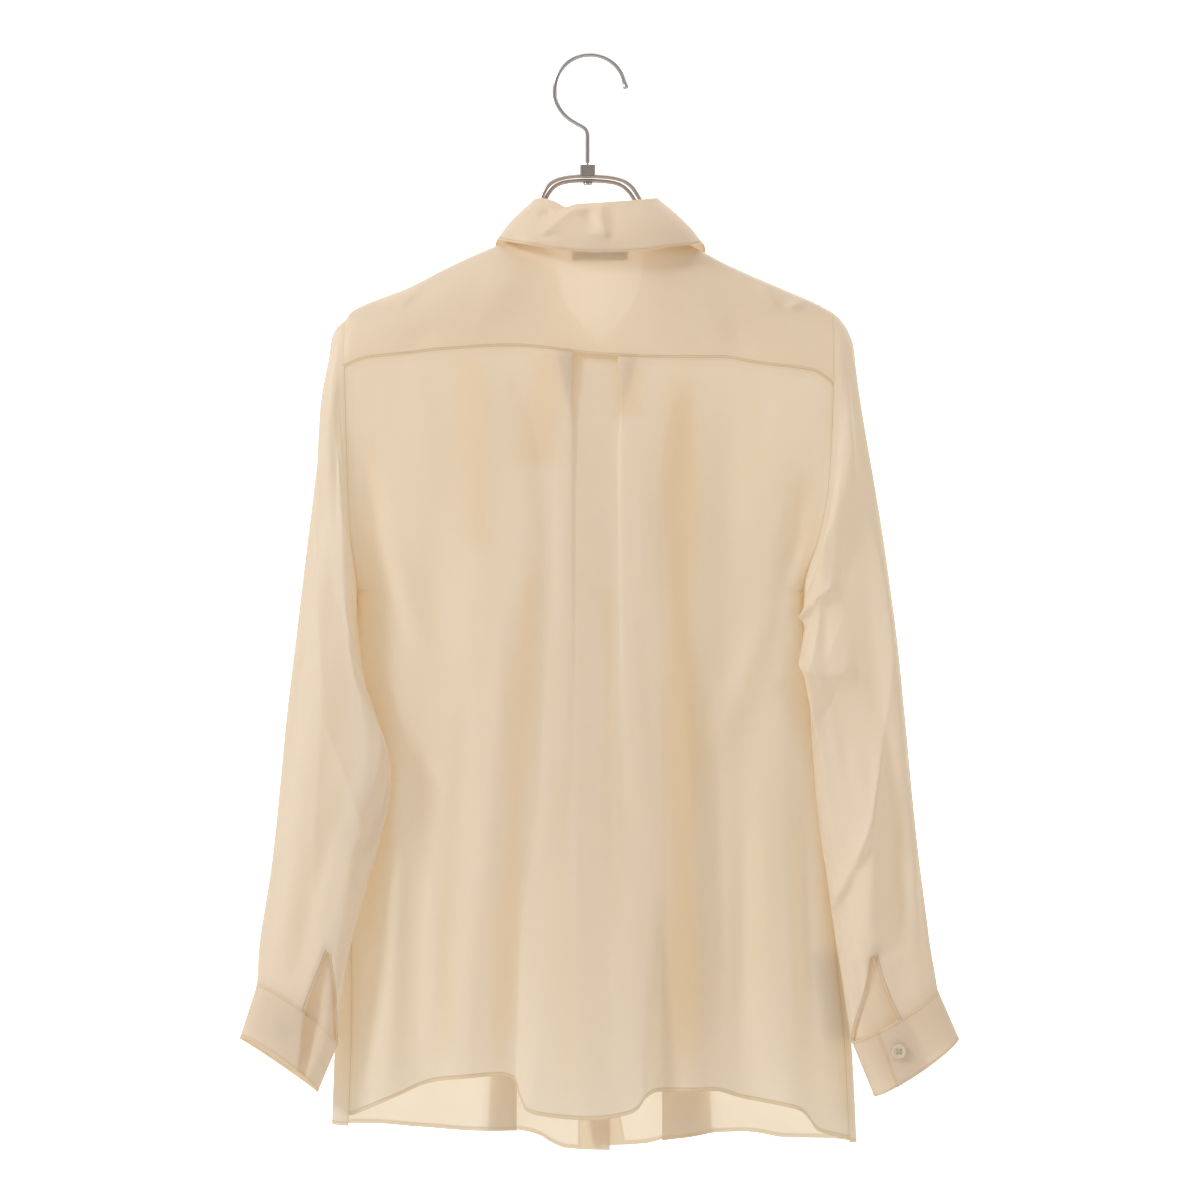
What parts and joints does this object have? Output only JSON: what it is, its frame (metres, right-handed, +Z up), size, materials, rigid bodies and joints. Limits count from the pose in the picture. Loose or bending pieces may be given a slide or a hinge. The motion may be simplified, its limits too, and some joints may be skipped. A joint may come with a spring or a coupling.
{
  "type": "silk blouse",
  "caption": "Long-sleeved silk blouse with a collar, yoke and pleated back, hanging buttoned on a bent wire hanger.",
  "frame": {"origin": "the point of the hook's inner side that bears on a rail", "axes": "+Z up; +X to the wearer's right; +Y to the wearer's front, along the rail"},
  "size_m": [0.5751, 0.098, 0.8816],
  "materials": {
    "silk": "sheer cream silk with a soft sheen",
    "silk_double": "the same silk, two plies",
    "label_satin": "plain pale satin",
    "button_pearl": "pearly",
    "bright_steel": "bright plated wire"
  },
  "bodies": {
    "root": {"back_yoke": "silk_double", "back_panel": "silk", "front_left": "silk", "front_right": "silk", "front_band_left": "silk_double", "front_band_right": "silk_double", "sleeve_left": "silk", "sleeve_right": "silk", "cuff_left": "silk_double", "cuff_right": "silk_double", "collar_stand": "silk_double", "collar": "silk_double", "neck_label": "label_satin", "care_label": "label_satin", "cuff_button_left": "button_pearl", "cuff_button_right": "button_pearl", "front_button_1": "button_pearl", "front_button_2": "button_pearl", "front_button_3": "button_pearl", "front_button_4": "button_pearl", "front_button_5": "button_pearl", "front_button_6": "button_pearl", "front_button_7": "button_pearl", "hanger_hook": "bright_steel", "hanger_block": "bright_steel", "hanger_rivet": "bright_steel", "hanger_frame": "bright_steel"}
  },
  "joints": []
}
